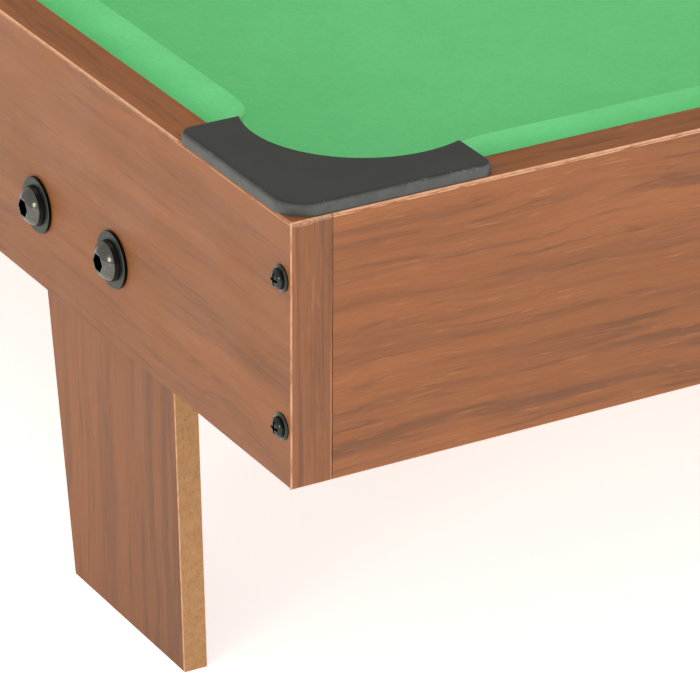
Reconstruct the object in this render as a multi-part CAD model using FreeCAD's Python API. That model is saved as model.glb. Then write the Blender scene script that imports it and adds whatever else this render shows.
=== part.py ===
import FreeCAD, Part
import math
import os

from FreeCAD import Vector

# Mini pool table, in millimetres. +Z is up, +X runs along the length, and -Y is the front.
# The origin is on the floor, under the centre of the table.
# Left and right are the -X and +X ends. Each corner piece is drawn once, in a frame whose origin is the
# table's outer corner, with +X and +Y pointing into the table, and then placed at the four corners.

# ---- overall ----
LENGTH = 920.0
WIDTH = 520.0
HEIGHT = 190.0
HALF_L = LENGTH / 2
HALF_W = WIDTH / 2
GAP = 0.3                              # clearance between pieces that only lie next to each other

# ---- rails and panels ----
CAP_T = 3.7
RAIL_TOP = HEIGHT - CAP_T
PANEL_H = 81.0
PANEL_T = 13.2
PANEL_BOTTOM = RAIL_TOP - PANEL_H
BAND_T = 0.6
ARRIS = 0.5                            # small flat along a board's long edges

# ---- bed ----
BED_DROP = 22.0                        # from the rail top down to the playing surface
BED_T = 9.0
CLOTH_T = 1.2
CLOTH_TOP = RAIL_TOP - BED_DROP
BED_TOP = CLOTH_TOP - CLOTH_T
BED_BOTTOM = BED_TOP - BED_T
BED_INSET = PANEL_T + GAP

# ---- pockets ----
CORNER_HOLE_R = 24.0
CORNER_HOLE_IN = 45.0                  # hole centre to each outer face
SIDE_HOLE_R = 22.0
SIDE_HOLE_IN = 40.0

# ---- corner pocket cap ----
CAP_END_INSET = 0.8                    # cap to the end panel's outer face
CAP_SIDE_INSET = 0.0                   # cap to the side panel's outer face
CAP_ARM = 65.3
CAP_MOUTH_R = 35.0
CAP_MOUTH_IN = 52.0                    # mouth centre to each outer face
CAP_OUTER_R = 10.0
CAP_END_R = 4.0
CAP_TIP_R = 0.7
CAP_EDGE_R = 1.4                       # on the outer edges. The mouth's edge is sharp
SKIRT_T = 2.0
PEG_R = 2.4
PEG_HOLE_R = 2.45
PEG_DEPTH = 8.0
PEG_ALONG = 42.0

# ---- side pocket cap ----
SIDE_CAP_HALF = 31.0
SIDE_CAP_DEPTH = 19.2
SIDE_MOUTH_R = 24.6
SIDE_PEG_ALONG = 22.0

# ---- cushions ----
CUSHION_CLEAR = 0.6                    # from a cap's arm to the end of the cushion
CUSHION_BACK = PANEL_T + GAP
CUSHION_NOSE = 35.6                    # cushion nose to the outer face
CUSHION_NOSE_H = 15.6                  # nose above the playing surface
CUSHION_TOP_DROP = 1.6                 # highest point of the cushion below the rail top
CUSHION_FOOT_IN = 7.0                  # the foot stands back this far under the nose
CUSHION_CROWN_IN = 3.9                 # the top starts to fall this far behind the nose,
CUSHION_CROWN_DROP = 1.0               # this far below its highest point
CUSHION_LIP = ((-0.3, -2.0), (-0.6, 1.6))  # ends of the rounded nose, from its tip
CUSHION_CORNER_CUT = 1.3               # how far a long cushion slopes back at a corner, per unit of depth
CUSHION_END_CUT = 0.5                  # the same for the cushions on the end panels,
CUSHION_SIDE_CUT = 0.45                # and for the long cushions at the side pockets
COVER_T = 1.0

# ---- legs ----
LEG_T = 8.0
LEG_TOP = BED_BOTTOM - 0.5
LEG_FOOT_NEAR = 89.7                   # at the floor, from the table's end to the leg's edges
LEG_FOOT_FAR = 161.7
LEG_NEAR_LEAN = 0.0465                 # how far each edge leans, per unit of height
LEG_FAR_LEAN = 0.1624
LEG_ARRIS = 0.3

# ---- leg bolts, washers and tee nuts ----
BOLT_SPOTS = ((105.3, 52.7), (154.0, 54.2))  # in from the table's end, and down from the rail top
BOLT_R = 3.0
BOLT_LENGTH = 25.0
BOLT_POINT = 0.6
BOLT_HOLE_R = 3.25
BOLT_HEAD_R = 6.35
BOLT_HEAD_FOOT = 0.4                   # bevel under the head
BOLT_RIM_H = 1.6                       # upright rim of the head, under its dome
BOLT_DOME_R = 5.95
BOLT_BULGE = (4.7, 3.1)                # radius and height of a point half way up the dome
BOLT_HEAD_H = 4.1
BOLT_FACE_R = 3.1
HEX_FLATS = 5.0
HEX_DEPTH = 2.5
WASHER_R = 8.75
WASHER_HOLE_R = 3.2
WASHER_T = 1.2
WASHER_EDGE_R = 0.3
NUT_BORE_R = 3.05
NUT_BARREL_R = 4.2
NUT_BARREL_LENGTH = 7.5
NUT_FLANGE_R = 9.0
NUT_FLANGE_T = 1.4
NUT_PRONGS = 4
NUT_PRONG_LENGTH = 5.0
NUT_PRONG_W = 3.2
NUT_PRONG_T = 1.0
NUT_PRONG_OUT = 7.6

# ---- wood screws: flange radius, head radius, head height, shank radius, length, recess half-span ----
CORNER_SCREW = dict(flange=4.0, head=3.1, height=2.6, shank=1.9, length=40.0, cross=2.1)
CLEAT_SCREW = dict(flange=3.6, head=2.7, height=2.2, shank=1.6, length=25.0, cross=1.9)
BED_SCREW = dict(flange=3.6, head=2.7, height=2.2, shank=1.6, length=22.0, cross=1.9)
CUP_SCREW = dict(flange=3.6, head=2.7, height=2.2, shank=1.4, length=9.0, cross=1.9)
SCREW_FLANGE_T = 0.7
SCREW_POINT = 3.0
CROSS_W = 0.8
CORNER_SCREW_IN = 5.3                  # screw axis to the table's end
CORNER_SCREW_DROPS = (18.3, 63.3)      # screw axes below the rail top

# ---- cleats under the bed ----
CLEAT_W = 15.0
CLEAT_H = 15.0
CLEAT_TOP = BED_BOTTOM
SIDE_CLEAT_FROM = 31.0                 # from the table's middle
SIDE_CLEAT_TO = 272.0
END_CLEAT_HALF = 182.0
CLEAT_SCREW_EDGE = 30.0                # first screw to the cleat's end
BED_SCREW_STEP = 20.0                  # from a cleat screw to the next bed screw

# ---- pocket cups ----
CUP_WALL = 1.6
CUP_DEPTH = 36.0
CUP_FLANGE = 3.6
CUP_FLANGE_T = 2.0
CUP_FLOOR_R = 5.0
CUP_EARS = (-60.0, 0.0, 60.0)          # ear directions from the inward one, in degrees
CUP_EAR_R = 4.2
CUP_EAR_OUT = 2.4                      # ear centre beyond the flange's rim

ZERO = Vector(0, 0, 0)
UP = Vector(0, 0, 1)
CORNERS = {
    "front_left": (1, 1),
    "front_right": (-1, 1),
    "back_left": (1, -1),
    "back_right": (-1, -1),
}


# ---- helpers ----
def save(node, shape):
    """Writes one named piece, which may be a group of separate solids."""
    shape.exportStep("parts/" + node + ".step")


def block(x0, x1, y0, y1, z0, z1):
    return Part.makeBox(x1 - x0, y1 - y0, z1 - z0, Vector(x0, y0, z0))


def cylinder(radius, length, base, direction=UP):
    return Part.makeCylinder(radius, length, base, direction)


def loop(edges):
    """Closed face from line and arc edges that meet end to end."""
    return Part.Face(Part.Wire(Part.__sortEdges__(edges)))


def polygon(points):
    closed = list(points) + [points[0]]
    return Part.Face(Part.makePolygon(closed))


def flip(shape, sign_x, sign_y):
    """Mirrors a shape about the table's middle planes where a sign is negative."""
    if sign_x < 0:
        shape = shape.mirror(ZERO, Vector(1, 0, 0))
    if sign_y < 0:
        shape = shape.mirror(ZERO, Vector(0, 1, 0))
    return shape


def from_corner(shape):
    """Moves a shape from the corner frame to the table's front left corner."""
    moved = shape.copy()
    moved.translate(Vector(-HALF_L, -HALF_W, 0))
    return moved


def at_corner(shape, corner):
    return flip(from_corner(shape), *CORNERS[corner])


def at_all_corners(shape):
    return [at_corner(shape, corner) for corner in CORNERS]


def group(shapes):
    return Part.makeCompound(list(shapes))


def cut_all(shape, tools):
    for tool in tools:
        shape = shape.cut(tool)
    return shape


def edges_along(shape, direction):
    """Straight edges of a box-like solid that run along a direction."""
    found = []
    for edge in shape.Edges:
        run = edge.Vertexes[-1].Point - edge.Vertexes[0].Point
        if run.cross(direction).Length < 1e-6:
            found.append(edge)
    return found


def board(x0, x1, y0, y1, z0, z1, along):
    """Board with a small flat on the four edges that run along it."""
    solid = block(x0, x1, y0, y1, z0, z1)
    return solid.makeChamfer(ARRIS, edges_along(solid, along))


# ---- fasteners, drawn with the seat at z = 0, the head above it and the shank below ----
def cross_recess(top, half_span):
    """Tapered cross that a screwdriver fits."""
    depth = half_span * 0.9
    arms = []
    for turn in (0, 90):
        arm = Part.makeWedge(
            -half_span, 0, -CROSS_W / 2, -CROSS_W / 2, -half_span / 3,
            half_span, depth, CROSS_W / 2, CROSS_W / 2, half_span / 3,
        )
        arm.rotate(ZERO, Vector(1, 0, 0), -90)
        arm.rotate(ZERO, UP, turn)
        arms.append(arm)
    cross = arms[0].fuse(arms[1])
    cross.translate(Vector(0, 0, top + 0.01))
    return cross


def wood_screw(flange, head, height, shank, length, cross):
    """Flanged dome head with a cross recess, on a pointed shank."""
    rise = height - SCREW_FLANGE_T
    mid = Vector(head * 0.78, 0, SCREW_FLANGE_T + rise * 0.72)
    profile = loop([
        Part.makeLine(Vector(0, 0, -length), Vector(shank, 0, -length + SCREW_POINT)),
        Part.makeLine(Vector(shank, 0, -length + SCREW_POINT), Vector(shank, 0, 0)),
        Part.makeLine(Vector(shank, 0, 0), Vector(flange, 0, 0)),
        Part.makeLine(Vector(flange, 0, 0), Vector(flange, 0, SCREW_FLANGE_T / 2)),
        Part.makeLine(Vector(flange, 0, SCREW_FLANGE_T / 2), Vector(head, 0, SCREW_FLANGE_T)),
        Part.Arc(Vector(head, 0, SCREW_FLANGE_T), mid, Vector(head * 0.3, 0, height)).toShape(),
        Part.makeLine(Vector(head * 0.3, 0, height), Vector(0, 0, height)),
        Part.makeLine(Vector(0, 0, height), Vector(0, 0, -length)),
    ])
    return profile.revolve(ZERO, UP, 360).cut(cross_recess(height, cross))


def leg_bolt():
    """Domed head with a hex socket on a plain shank, seated on its washer's face at z = 0."""
    foot = Vector(BOLT_HEAD_R - BOLT_HEAD_FOOT, 0, 0)
    corner = Vector(BOLT_HEAD_R, 0, BOLT_HEAD_FOOT)
    rim = Vector(BOLT_DOME_R, 0, BOLT_RIM_H)
    bulge = Vector(BOLT_BULGE[0], 0, BOLT_BULGE[1])
    face = Vector(BOLT_FACE_R, 0, BOLT_HEAD_H)
    centre = Vector(0, 0, BOLT_HEAD_H)
    tip = Vector(0, 0, -BOLT_LENGTH)
    point = Vector(BOLT_R - BOLT_POINT, 0, -BOLT_LENGTH)
    shank_end = Vector(BOLT_R, 0, BOLT_POINT - BOLT_LENGTH)
    shank_top = Vector(BOLT_R, 0, 0)
    profile = loop([
        Part.makeLine(tip, point),
        Part.makeLine(point, shank_end),
        Part.makeLine(shank_end, shank_top),
        Part.makeLine(shank_top, foot),
        Part.makeLine(foot, corner),
        Part.makeLine(corner, rim),
        Part.Arc(rim, bulge, face).toShape(),
        Part.makeLine(face, centre),
        Part.makeLine(centre, tip),
    ])
    return profile.revolve(ZERO, UP, 360).cut(hex_socket())


def hex_socket():
    """Hexagonal hole down from the bolt head's face."""
    corner_r = HEX_FLATS / math.sqrt(3)
    angles = [math.radians(60 * i) for i in range(6)]
    floor = BOLT_HEAD_H - HEX_DEPTH
    corners = [Vector(corner_r * math.cos(a), corner_r * math.sin(a), floor) for a in angles]
    return polygon(corners).extrude(Vector(0, 0, HEX_DEPTH + 1))


def washer():
    ring = cylinder(WASHER_R, WASHER_T, ZERO).cut(cylinder(WASHER_HOLE_R, WASHER_T, ZERO))
    rims = [
        e for e in ring.Edges
        if e.Curve.TypeId == "Part::GeomCircle" and e.Curve.Radius > WASHER_HOLE_R
    ]
    return ring.makeFillet(WASHER_EDGE_R, rims)


def tee_nut():
    """Flange at z = 0 to NUT_FLANGE_T, with its barrel and prongs standing below it."""
    body = cylinder(NUT_FLANGE_R, NUT_FLANGE_T, ZERO)
    body = body.fuse(cylinder(NUT_BARREL_R, NUT_BARREL_LENGTH, Vector(0, 0, -NUT_BARREL_LENGTH)))
    half = NUT_PRONG_W / 2
    for i in range(NUT_PRONGS):
        prong = polygon([
            Vector(NUT_PRONG_OUT, -half, 0.1),
            Vector(NUT_PRONG_OUT, half, 0.1),
            Vector(NUT_PRONG_OUT, 0, -NUT_PRONG_LENGTH),
        ]).extrude(Vector(-NUT_PRONG_T, 0, 0))
        prong.rotate(ZERO, UP, 45 + 360 / NUT_PRONGS * i)
        body = body.fuse(prong)
    bore = cylinder(NUT_BORE_R, NUT_BARREL_LENGTH + NUT_FLANGE_T, Vector(0, 0, -NUT_BARREL_LENGTH))
    return body.cut(bore)


def aim(shape, seat, direction):
    """Puts a fastener's seat at a point, with its head pointing along a direction."""
    placed = shape.copy()
    placed.Placement = FreeCAD.Placement(seat, FreeCAD.Rotation(UP, direction))
    return placed


# ---- where the fasteners go, in the corner frame ----
OUT_FRONT = Vector(0, -1, 0)
INWARD = Vector(0, 1, 0)


def corner_screws():
    screw = wood_screw(**CORNER_SCREW)
    return [
        aim(screw, Vector(CORNER_SCREW_IN, 0, RAIL_TOP - drop), OUT_FRONT)
        for drop in CORNER_SCREW_DROPS
    ]


def bolt_places(depth):
    """Where the two bolt axes of one leg cross a plane at this depth from the front face."""
    return [Vector(along, depth, RAIL_TOP - drop) for along, drop in BOLT_SPOTS]


def bolt_sets():
    """Bolts, washers and tee nuts of one leg, as three lists."""
    bolt, ring, nut = leg_bolt(), washer(), tee_nut()
    bolts = [aim(bolt, place, OUT_FRONT) for place in bolt_places(-WASHER_T)]
    rings = [aim(ring, place, OUT_FRONT) for place in bolt_places(0)]
    nuts = [aim(nut, place, INWARD) for place in bolt_places(PANEL_T + LEG_T)]
    return bolts, rings, nuts


def bolt_holes():
    reach = PANEL_T + LEG_T + 2
    return [cylinder(BOLT_HOLE_R, reach, place, INWARD) for place in bolt_places(-1)]


# ---- panels ----
def wall_board(x0, x1, y0, y1, along, outward):
    """Upright board with a small flat on the two long edges of its outer face."""
    solid = block(x0, x1, y0, y1, PANEL_BOTTOM, RAIL_TOP)
    middle = solid.CenterOfMass
    outer = [e for e in edges_along(solid, along) if (e.CenterOfMass - middle).dot(outward) > 0]
    return solid.makeChamfer(ARRIS, outer)


def peg_holes(spots):
    return [cylinder(PEG_HOLE_R, PEG_DEPTH + 1, Vector(x, y, RAIL_TOP - PEG_DEPTH - 0.5)) for x, y in spots]


def panels(screws, cleat_screws):
    """The two side panels run the full length, and the end panels stand between them."""
    side = wall_board(-HALF_L + BAND_T, HALF_L - BAND_T, -HALF_W, -HALF_W + PANEL_T,
                      Vector(1, 0, 0), Vector(0, -1, 0))
    tools = []
    for tool in bolt_holes() + peg_holes([(PEG_ALONG, PANEL_T / 2)]):
        tools += [at_corner(tool, "front_left"), at_corner(tool, "front_right")]
    middle_pegs = [(sign * SIDE_PEG_ALONG, -HALF_W + PANEL_T / 2) for sign in (-1, 1)]
    side = cut_all(side, tools + peg_holes(middle_pegs) + screws + cleat_screws)

    end = wall_board(-HALF_L, -HALF_L + PANEL_T, -HALF_W + PANEL_T, HALF_W - PANEL_T,
                     Vector(0, 1, 0), Vector(-1, 0, 0))
    pegs = []
    for tool in peg_holes([(PANEL_T / 2, PEG_ALONG)]):
        pegs += [at_corner(tool, "front_left"), at_corner(tool, "back_left")]
    end = cut_all(end, pegs + screws + cleat_screws)
    return {
        "side_panel_front": side,
        "side_panel_back": flip(side, 1, -1),
        "end_panel_left": end,
        "end_panel_right": flip(end, -1, 1),
    }


def edge_band():
    """Foil strip on the end of a side panel, in the corner frame."""
    strip = block(0, BAND_T, 0, PANEL_T, PANEL_BOTTOM, RAIL_TOP)
    outer = [
        e for e in strip.Edges
        if all(abs(v.X) < 1e-6 for v in e.Vertexes)
    ]
    return strip.makeChamfer(ARRIS * 0.8, outer)


# ---- bed ----
def pocket_centres():
    """Centre and radius of each hole in the bed, by pocket name."""
    found = {}
    for corner, (sign_x, sign_y) in CORNERS.items():
        x = -sign_x * (HALF_L - CORNER_HOLE_IN)
        y = -sign_y * (HALF_W - CORNER_HOLE_IN)
        found[corner] = (x, y, CORNER_HOLE_R)
    found["front_middle"] = (0.0, -HALF_W + SIDE_HOLE_IN, SIDE_HOLE_R)
    found["back_middle"] = (0.0, HALF_W - SIDE_HOLE_IN, SIDE_HOLE_R)
    return found


def bed_layer(z0, z1):
    half_x, half_y = HALF_L - BED_INSET, HALF_W - BED_INSET
    layer = block(-half_x, half_x, -half_y, half_y, z0, z1)
    holes = [
        cylinder(r, z1 - z0 + 2, Vector(x, y, z0 - 1))
        for x, y, r in pocket_centres().values()
    ]
    return cut_all(layer, holes)


# ---- pocket caps ----
def mouth_wall(centre, radius, z0, z1, window):
    """Curved wall behind a cap's mouth, kept to the part inside a window."""
    ring = cylinder(radius + SKIRT_T, z1 - z0, Vector(*centre, z0))
    ring = ring.cut(cylinder(radius, z1 - z0, Vector(*centre, z0)))
    return ring.common(window)


def softened_plate(x0, x1, y0, y1, radii):
    """Plate with round corners, listed anticlockwise from its low corner, and a rounded top edge."""
    plate = block(x0, x1, y0, y1, RAIL_TOP, HEIGHT)
    for (x, y), radius in zip(((x0, y0), (x1, y0), (x1, y1), (x0, y1)), radii):
        plate = plate.makeFillet(radius, upright_edges(plate, [(x, y)]))
    top = [
        e for e in plate.Edges
        if all(abs(v.Z - HEIGHT) < 1e-6 for v in e.Vertexes)
    ]
    return plate.makeFillet(CAP_EDGE_R, top)


def upright_edges(plate, spots):
    """Upright edges of a plate at the listed (x, y) spots."""
    found = []
    for edge in plate.Edges:
        a, b = edge.Vertexes[0].Point, edge.Vertexes[-1].Point
        upright = abs(a.x - b.x) + abs(a.y - b.y) < 1e-6 and abs(a.z - b.z) > 1
        if upright and any(math.hypot(a.x - x, a.y - y) < 0.01 for x, y in spots):
            found.append(edge)
    return found


def pegs(spots):
    """Pegs under a cap, rooted a little way into its plate."""
    root = 0.5
    return [cylinder(PEG_R, PEG_DEPTH, Vector(x, y, RAIL_TOP - PEG_DEPTH + root)) for x, y in spots]


def corner_cap():
    """Two arms along the rails and a round mouth between them, in the corner frame."""
    far, c, r = CAP_ARM, CAP_MOUTH_IN, CAP_MOUTH_R
    tip = c - math.sqrt(r ** 2 - (far - c) ** 2)
    near = c - r / math.sqrt(2)

    def at(x, y):
        return Vector(x, y, RAIL_TOP)

    face = loop([
        Part.makeLine(at(0, 0), at(far, 0)),
        Part.makeLine(at(far, 0), at(far, tip)),
        Part.Arc(at(far, tip), at(near, near), at(tip, far)).toShape(),
        Part.makeLine(at(tip, far), at(0, far)),
        Part.makeLine(at(0, far), at(0, 0)),
    ])
    plate = face.extrude(Vector(0, 0, CAP_T))
    plate = plate.makeFillet(CAP_TIP_R, upright_edges(plate, [(far, tip), (tip, far)]))
    corners = (CAP_OUTER_R, CAP_END_R, CAP_TIP_R, CAP_END_R)
    cap = plate.common(softened_plate(CAP_END_INSET, far, CAP_SIDE_INSET, far, corners))
    low = PANEL_T + GAP
    window = block(low, far - 1, low, far - 1, CLOTH_TOP + GAP, RAIL_TOP + 1)
    cap = cap.fuse(mouth_wall((c, c), r, CLOTH_TOP + GAP, RAIL_TOP + 1, window))
    return fuse_all(cap, pegs([(PEG_ALONG, PANEL_T / 2), (PANEL_T / 2, PEG_ALONG)]))


def fuse_all(shape, extras):
    for extra in extras:
        shape = shape.fuse(extra)
    return shape.removeSplitter()


def side_cap():
    """Straight cap with a round mouth, at the middle of the front rail."""
    back = -HALF_W + CAP_SIDE_INSET
    front = -HALF_W + SIDE_CAP_DEPTH
    centre_y = -HALF_W + SIDE_HOLE_IN
    half = SIDE_CAP_HALF
    mouth = math.sqrt(SIDE_MOUTH_R ** 2 - (centre_y - front) ** 2)

    def at(x, y):
        return Vector(x, y, RAIL_TOP)

    face = loop([
        Part.makeLine(at(-half, back), at(half, back)),
        Part.makeLine(at(half, back), at(half, front)),
        Part.makeLine(at(half, front), at(mouth, front)),
        Part.Arc(at(mouth, front), at(0, centre_y - SIDE_MOUTH_R), at(-mouth, front)).toShape(),
        Part.makeLine(at(-mouth, front), at(-half, front)),
        Part.makeLine(at(-half, front), at(-half, back)),
    ])
    plate = face.extrude(Vector(0, 0, CAP_T))
    plate = plate.makeFillet(CAP_TIP_R, upright_edges(plate, [(-mouth, front), (mouth, front)]))
    corners = (CAP_END_R, CAP_END_R, CAP_TIP_R, CAP_TIP_R)
    cap = plate.common(softened_plate(-half, half, back, front, corners))
    low = -HALF_W + PANEL_T + GAP
    window = block(-half, half, low, front - 0.5, CLOTH_TOP + GAP, RAIL_TOP + 1)
    wall = mouth_wall((0, centre_y), SIDE_MOUTH_R, CLOTH_TOP + GAP, RAIL_TOP + 1, window)
    spots = [(s * SIDE_PEG_ALONG, -HALF_W + PANEL_T / 2) for s in (-1, 1)]
    return fuse_all(cap, [wall] + pegs(spots))


# ---- cushions ----
def cushion_section(shrink):
    """Section across a cushion: y is the distance from the outer face, z the height."""
    back = CUSHION_BACK
    nose = CUSHION_NOSE - shrink
    nose_z = CLOTH_TOP + CUSHION_NOSE_H
    top_z = RAIL_TOP - CUSHION_TOP_DROP - shrink
    low_lip, high_lip = [Vector(0, nose + dy, nose_z + dz) for dy, dz in CUSHION_LIP]
    heel = Vector(0, back, CLOTH_TOP + shrink)
    foot = Vector(0, nose - CUSHION_FOOT_IN, CLOTH_TOP + shrink)
    crown = Vector(0, nose - CUSHION_CROWN_IN, top_z - CUSHION_CROWN_DROP)
    top = Vector(0, back, top_z)
    return [
        Part.makeLine(heel, foot),
        Part.makeLine(foot, low_lip),
        Part.Arc(low_lip, Vector(0, nose, nose_z), high_lip).toShape(),
        Part.makeLine(high_lip, crown),
        Part.makeLine(crown, top),
        Part.makeLine(top, heel),
    ]


def cushion_bar(start, finish, start_cut, finish_cut, shrink):
    """Bar along X from start to finish at its back, each end cut back to clear the pocket it faces."""
    back, nose = CUSHION_BACK, CUSHION_NOSE + 1
    bar = loop(cushion_section(shrink)).extrude(Vector(finish - start, 0, 0))
    bar.translate(Vector(start, 0, 0))
    knee = CAP_MOUTH_IN - math.sqrt(CAP_MOUTH_R ** 2 - (CAP_ARM - CAP_MOUTH_IN) ** 2)
    plan = polygon([
        Vector(start + shrink, back, 0),
        Vector(start + shrink, knee, 0),
        Vector(start + shrink + start_cut * (nose - knee), nose, 0),
        Vector(finish - shrink - finish_cut * (nose - knee), nose, 0),
        Vector(finish - shrink, knee, 0),
        Vector(finish - shrink, back, 0),
    ])
    return bar.common(plan.extrude(Vector(0, 0, HEIGHT)))


def cushion_pair(length, start_cut, finish_cut):
    """Cover and core of one cushion. The cover wraps the core on every side but the back."""
    outer = cushion_bar(0, length, start_cut, finish_cut, 0)
    core = cushion_bar(0, length, start_cut, finish_cut, COVER_T)
    cover = outer.cut(core)
    return cover, core


def cushions():
    """The six cushions, by place: two to each long rail, one to each end."""
    gap = CAP_ARM + CUSHION_CLEAR
    long_run = HALF_L - gap - SIDE_CAP_HALF - CUSHION_CLEAR
    short_run = WIDTH - 2 * gap
    found = {}
    for name, shapes in (("long", cushion_pair(long_run, CUSHION_CORNER_CUT, CUSHION_SIDE_CUT)),
                         ("short", cushion_pair(short_run, CUSHION_END_CUT, CUSHION_END_CUT))):
        for kind, shape in zip(("cover", "core"), shapes):
            if name == "long":
                shape.translate(Vector(-HALF_L + gap, -HALF_W, 0))
                for corner, signs in CORNERS.items():
                    found["cushion_%s_%s" % (kind, corner)] = flip(shape, *signs)
            else:
                shape.rotate(ZERO, UP, -90)
                shape.translate(Vector(-HALF_L, HALF_W - gap, 0))
                found["cushion_%s_left_end" % kind] = shape
                found["cushion_%s_right_end" % kind] = flip(shape, -1, 1)
    return found


# ---- legs ----
def leg(nuts):
    """Tapered board flat against the side panel's inner face, in the corner frame."""
    top = LEG_TOP
    outline = polygon([
        Vector(LEG_FOOT_NEAR, PANEL_T, 0),
        Vector(LEG_FOOT_FAR, PANEL_T, 0),
        Vector(LEG_FOOT_FAR + LEG_FAR_LEAN * top, PANEL_T, top),
        Vector(LEG_FOOT_NEAR + LEG_NEAR_LEAN * top, PANEL_T, top),
    ])
    plank = outline.extrude(Vector(0, LEG_T, 0))
    rims = [e for e in plank.Edges if abs(e.Vertexes[0].Y - e.Vertexes[-1].Y) < 1e-6]
    plank = plank.makeChamfer(LEG_ARRIS, rims)
    return cut_all(plank, bolt_holes() + nuts)


# ---- cleats ----
def cleats():
    """Square battens under the bed, two on each side panel and one on each end panel."""
    y0, y1 = -HALF_W + PANEL_T, -HALF_W + PANEL_T + CLEAT_W
    x0, x1 = -HALF_L + PANEL_T, -HALF_L + PANEL_T + CLEAT_W
    z0, z1 = CLEAT_TOP - CLEAT_H, CLEAT_TOP
    side = board(-SIDE_CLEAT_TO, -SIDE_CLEAT_FROM, y0, y1, z0, z1, Vector(1, 0, 0))
    end = board(x0, x1, -END_CLEAT_HALF, END_CLEAT_HALF, z0, z1, Vector(0, 1, 0))
    return side, end


def cleat_screw_places():
    """Screws into the panels and up into the bed, for the front left side cleat and the left end cleat."""
    level = CLEAT_TOP - CLEAT_H / 2
    into_panel = wood_screw(**CLEAT_SCREW)
    into_bed = wood_screw(**BED_SCREW)
    side_y = -HALF_W + PANEL_T + CLEAT_W
    end_x = -HALF_L + PANEL_T + CLEAT_W
    spacing = (SIDE_CLEAT_TO - SIDE_CLEAT_FROM) / 2 - CLEAT_SCREW_EDGE
    middle = -(SIDE_CLEAT_TO + SIDE_CLEAT_FROM) / 2
    side_xs = [middle - spacing, middle, middle + spacing]
    end_ys = [-(END_CLEAT_HALF - CLEAT_SCREW_EDGE), 0, END_CLEAT_HALF - CLEAT_SCREW_EDGE]
    side_panel = [aim(into_panel, Vector(x, side_y, level), INWARD) for x in side_xs]
    end_panel = [aim(into_panel, Vector(end_x, y, level), Vector(1, 0, 0)) for y in end_ys]
    down = Vector(0, 0, -1)
    bottom = CLEAT_TOP - CLEAT_H
    side_bed = [aim(into_bed, Vector(x + BED_SCREW_STEP, side_y - CLEAT_W / 2, bottom), down)
                for x in side_xs[:-1]]
    end_bed = [aim(into_bed, Vector(end_x - CLEAT_W / 2, y + BED_SCREW_STEP, bottom), down)
               for y in end_ys[:-1]]
    return side_panel, end_panel, side_bed, end_bed


# ---- pocket cups ----
def cup(radius, inward):
    """Cup that catches a ball, hung under the bed by a flange with three ears. Inward is in degrees."""
    top = BED_BOTTOM
    outer = radius + CUP_WALL
    rim = outer + CUP_FLANGE - CUP_WALL
    base = top - CUP_FLANGE_T
    flange = cylinder(rim, CUP_FLANGE_T, Vector(0, 0, base))
    ears = []
    for turn in CUP_EARS:
        angle = math.radians(inward + turn)
        spot = Vector((rim + CUP_EAR_OUT) * math.cos(angle), (rim + CUP_EAR_OUT) * math.sin(angle), base)
        ears.append(spot)
        flange = flange.fuse(cylinder(CUP_EAR_R, CUP_FLANGE_T, spot))
    pot = cylinder(outer, CUP_DEPTH, Vector(0, 0, top - CUP_DEPTH))
    floor_rim = [e for e in pot.Edges if abs(e.BoundBox.ZMax - (top - CUP_DEPTH)) < 1e-6]
    pot = pot.makeFillet(CUP_FLOOR_R, floor_rim)
    hollow_depth = CUP_DEPTH - CUP_WALL
    hollow = cylinder(radius, hollow_depth, Vector(0, 0, top - hollow_depth))
    hollow_rim = [e for e in hollow.Edges if abs(e.BoundBox.ZMax - (top - hollow_depth)) < 1e-6]
    hollow = hollow.makeFillet(CUP_FLOOR_R - CUP_WALL, hollow_rim)
    body = flange.fuse(pot).cut(hollow).removeSplitter()
    screw = wood_screw(**CUP_SCREW)
    screws = [aim(screw, spot, Vector(0, 0, -1)) for spot in ears]
    return cut_all(body, screws), screws


def cups():
    """The six cups by pocket name, and all of their screws."""
    placed, screws = {}, []
    for pocket, (x, y, radius) in pocket_centres().items():
        step_x = -math.copysign(1, x) if x else 0
        step_y = -math.copysign(1, y)
        body, own = cup(radius, math.degrees(math.atan2(step_y, step_x)))
        body.translate(Vector(x, y, 0))
        for screw in own:
            screw.translate(Vector(x, y, 0))
        placed["pocket_cup_" + pocket] = body
        screws += own
    return placed, screws


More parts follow.
